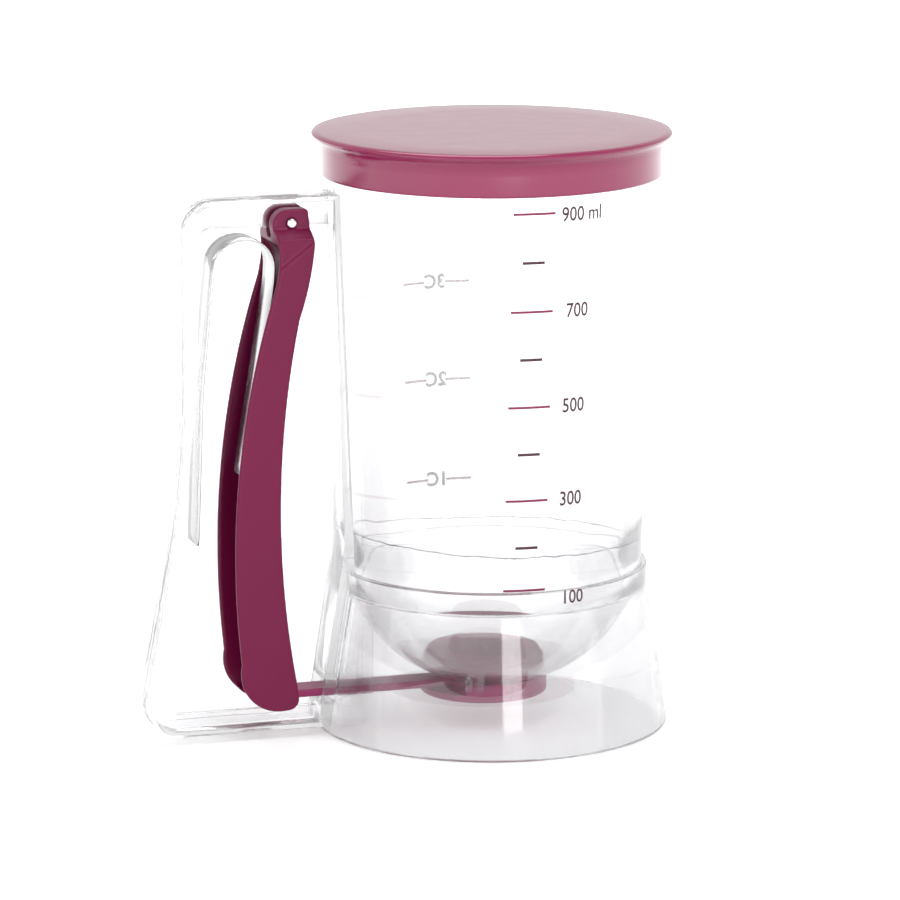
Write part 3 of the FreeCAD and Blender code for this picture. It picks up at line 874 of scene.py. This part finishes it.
camera_data = bpy.data.cameras.new("camera")
camera = bpy.data.objects.new("camera", camera_data)
bpy.context.scene.collection.objects.link(camera)
camera.location = (-0.4634, -1.4697, 0.4095)
camera.rotation_euler = (math.radians(78.09), 0.0, math.radians(-17.03))
camera_data.lens = 205.2
camera_data.sensor_width = 36.0
camera_data.clip_start = 0.05
camera_data.clip_end = 20.0
bpy.context.scene.camera = camera


# Floor, world and lights

def seen_rays(tree):
    """1 for camera, mirror and see-through rays, so that they meet a white page."""
    path = add_node(tree, "ShaderNodeLightPath")
    value = path.outputs["Is Camera Ray"]
    for name in ("Is Transmission Ray", "Is Glossy Ray"):
        either = add_node(tree, "ShaderNodeMath", operation="MAXIMUM")
        tree.links.new(value, either.inputs[0])
        tree.links.new(path.outputs[name], either.inputs[1])
        value = either.outputs[0]
    return value


def build_floor():
    work = bmesh.new()
    bmesh.ops.create_grid(work, x_segments=8, y_segments=8, size=3.0)
    mesh = bpy.data.meshes.new("floor")
    work.to_mesh(mesh)
    work.free()
    obj = bpy.data.objects.new("floor", mesh)
    bpy.context.scene.collection.objects.link(obj)
    obj.location.z = -0.0002
    mat, tree, shader = new_material("floor_white")
    shader.inputs["Base Color"].default_value = (0.86, 0.86, 0.87, 1)
    shader.inputs["Roughness"].default_value = 0.9
    shader.inputs["Specular IOR Level"].default_value = 0.0
    glow = add_node(tree, "ShaderNodeEmission")
    glow.inputs["Color"].default_value = (1, 1, 1, 1)
    scale = add_node(tree, "ShaderNodeMath", operation="MULTIPLY")
    tree.links.new(seen_rays(tree), scale.inputs[0])
    tree.links.new(scale.outputs[0], glow.inputs["Strength"])
    add = add_node(tree, "ShaderNodeAddShader")
    tree.links.new(shader.outputs[0], add.inputs[0])
    tree.links.new(glow.outputs[0], add.inputs[1])
    place = add_node(tree, "ShaderNodeNewGeometry")
    away = add_node(tree, "ShaderNodeVectorMath", operation="LENGTH")
    tree.links.new(place.outputs["Position"], away.inputs[0])
    tree.links.new(map_range(tree, away.outputs["Value"], 0.3, 1.1, 0.35, 1.0), scale.inputs[1])
    tree.links.new(add.outputs[0], tree.nodes["Material Output"].inputs["Surface"])
    mesh.materials.append(mat)


build_floor()

world = bpy.data.worlds.new("studio")
bpy.context.scene.world = world
world.use_nodes = True
tree = world.node_tree
background = tree.nodes["Background"]
coords = add_node(tree, "ShaderNodeTexCoord")
split = add_node(tree, "ShaderNodeSeparateXYZ")
tree.links.new(coords.outputs["Generated"], split.inputs[0])
shade = map_range(tree, split.outputs["Z"], 0.0, 0.9, 0.85, 0.5)
path = add_node(tree, "ShaderNodeLightPath")
pick = add_node(tree, "ShaderNodeMix", data_type="FLOAT")
tree.links.new(path.outputs["Is Camera Ray"], pick.inputs["Factor"])
tree.links.new(shade, pick.inputs["A"])
pick.inputs["B"].default_value = 1.0
tree.links.new(pick.outputs["Result"], background.inputs["Strength"])
background.inputs["Color"].default_value = (1, 1, 1, 1)


def area_light(name, place, target, size, power, size_y):
    data = bpy.data.lights.new(name, "AREA")
    data.shape = "RECTANGLE"
    data.size = size
    data.size_y = size_y
    data.energy = power
    obj = bpy.data.objects.new(name, data)
    bpy.context.scene.collection.objects.link(obj)
    obj.location = place
    direction = Vector(target) - Vector(place)
    obj.rotation_euler = direction.to_track_quat("-Z", "Y").to_euler()
    return obj


area_light("key", (0.5, -1.0, 1.3), (0, 0, 0.1), 0.7, 9.0, size_y=0.7)
area_light("fill", (-1.3, -0.6, 0.9), (0, 0, 0.1), 0.7, 5.0, size_y=0.9)
area_light("window", (-0.09, -1.5, 0.16), (0, 0, 0.05), 0.34, 2.4, size_y=0.34)
area_light("top", (0.0, 0.6, 1.6), (0, 0, 0.1), 1.0, 7.0, size_y=0.8)

bpy.context.scene.view_settings.view_transform = "Standard"
